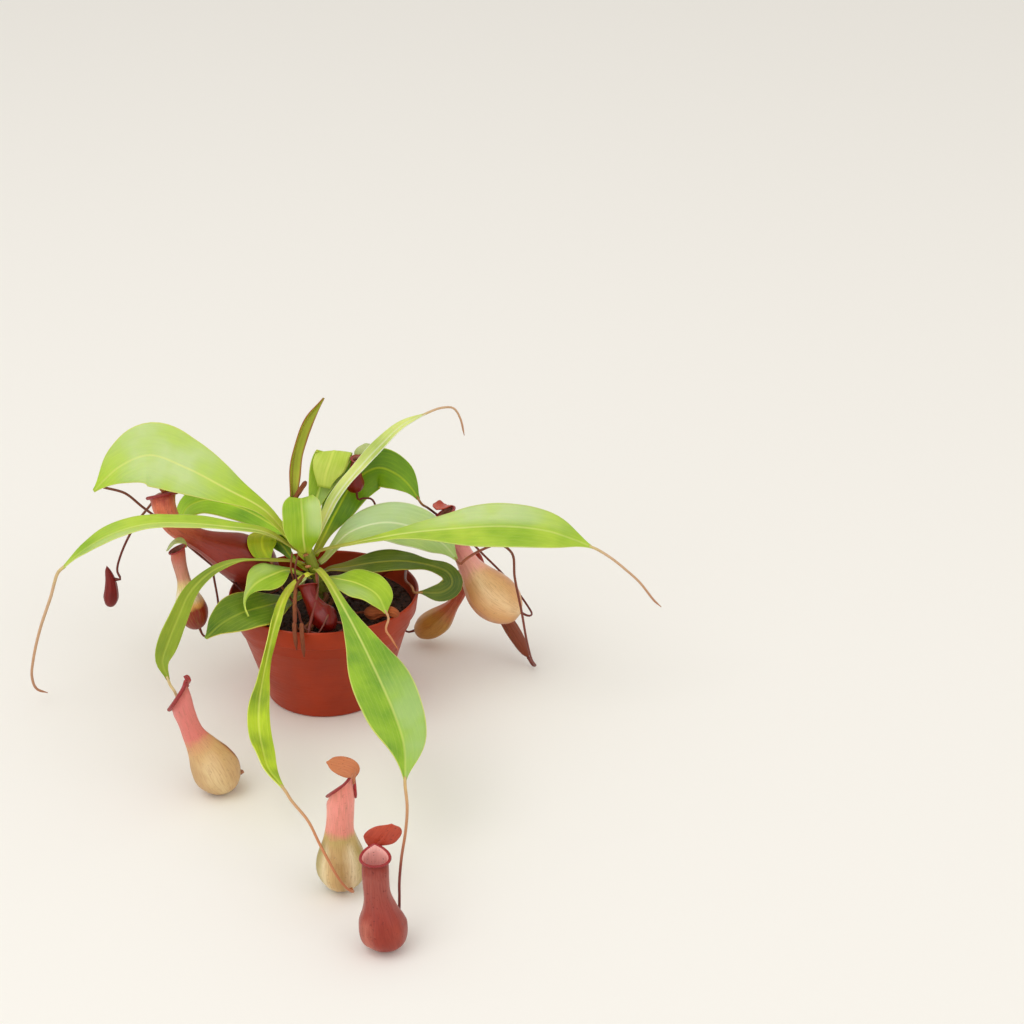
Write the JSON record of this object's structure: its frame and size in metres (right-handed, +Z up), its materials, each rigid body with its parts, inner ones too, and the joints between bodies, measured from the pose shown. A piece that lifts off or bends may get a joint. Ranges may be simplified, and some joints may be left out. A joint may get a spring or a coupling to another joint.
{
  "type": "potted pitcher plant",
  "caption": "Tropical pitcher plant in a tapered plastic nursery pot, with arching strap leaves, thin tendrils and hanging bulbous pitchers with lids.",
  "frame": {"origin": "centre of the pot's flat underside, which rests on a level surface", "axes": "+Z up, -Y towards the viewer of the picture, +X to the viewer's right"},
  "size_m": [0.4647, 0.4317, 0.2215],
  "materials": {
    "pot": "satin terracotta-coloured plastic",
    "soil": "matte moist peat",
    "stem": "satin green stem",
    "leaf_fresh": "glossy yellow-green leaf",
    "leaf_mid": "glossy green leaf",
    "leaf_dark": "glossy dark green leaf",
    "tendril_tan": "satin tan tendril",
    "tendril_red": "satin dark red tendril",
    "pitcher_tan": "satin olive-tan pitcher",
    "pitcher_red": "satin dark red pitcher",
    "dry": "matte dried plant"
  },
  "bodies": {
    "root": {"dry_stem_1": "dry", "dry_stem_2": "dry", "leaf_01": "leaf_fresh", "leaf_02": "leaf_fresh", "leaf_03": "leaf_mid", "leaf_04": "leaf_fresh", "leaf_05": "leaf_fresh", "leaf_06": "leaf_fresh", "leaf_07": "leaf_fresh", "leaf_08": "leaf_fresh", "leaf_09": "leaf_mid", "leaf_10": "leaf_mid", "leaf_11": "leaf_mid", "leaf_12": "leaf_dark", "leaf_14": "leaf_mid", "leaf_15": "leaf_mid", "leaf_16": "leaf_dark", "leaf_17": "leaf_fresh", "leaf_18": "leaf_mid", "leaf_19": "leaf_mid", "leaf_20": "leaf_dark", "pitcher_01": "pitcher_tan", "pitcher_02": "pitcher_tan", "pitcher_03": "pitcher_red", "pitcher_04": "pitcher_tan", "pitcher_05": "pitcher_tan", "pitcher_06": "pitcher_tan", "pitcher_07": "pitcher_tan", "pitcher_08": "pitcher_red", "pitcher_09": "pitcher_red", "pitcher_10": "pitcher_red", "pitcher_11": "dry", "pitcher_12": "pitcher_red", "pitcher_13": "pitcher_red", "pot": "pot", "soil": "soil", "stalk_10": "tendril_red", "stalk_11": "dry", "stalk_12": "tendril_red", "stem": "stem", "tendril_01": "tendril_red", "tendril_02": "tendril_tan", "tendril_03": "tendril_tan", "tendril_04": "tendril_tan", "tendril_05": "tendril_tan", "tendril_06": "tendril_tan", "tendril_07": "tendril_tan", "tendril_10": "tendril_tan", "tendril_11": "tendril_red", "tendril_12": "tendril_red", "tendril_14": "tendril_tan", "tendril_18": "tendril_red", "tendril_19": "tendril_red", "tendril_20": "tendril_red"}
  },
  "joints": []
}
